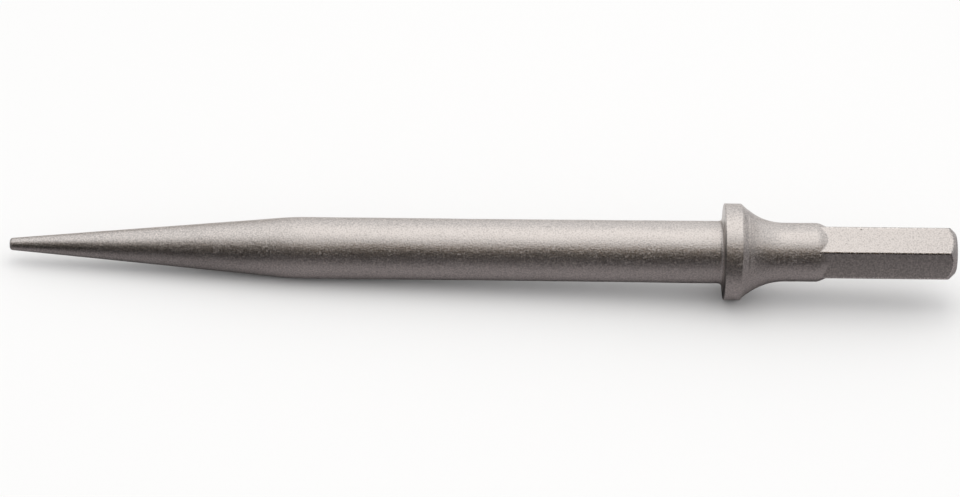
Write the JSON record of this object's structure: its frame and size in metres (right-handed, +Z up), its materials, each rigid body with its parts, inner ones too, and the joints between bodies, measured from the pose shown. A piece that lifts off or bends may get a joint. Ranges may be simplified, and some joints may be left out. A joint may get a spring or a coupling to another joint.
{
  "type": "point chisel",
  "caption": "Forged steel point chisel for an air hammer: a long conical point on a round body, a collar with a flared back, a round neck and a hexagonal shank.",
  "frame": {"origin": "centre of the striking face, the flat end of the hexagonal shank", "axes": "+X along the chisel's axis, out of the striking face, so the point is at -X; -Y out of one of the shank's flats; +Z up, through a corner of the hexagon"},
  "size_m": [0.1876, 0.0192, 0.0192],
  "materials": {
    "blasted_steel": "bare steel, shot-blasted to an even fine matt grain, dull shine"
  },
  "bodies": {
    "root": {"point_chisel": "blasted_steel"}
  },
  "joints": []
}
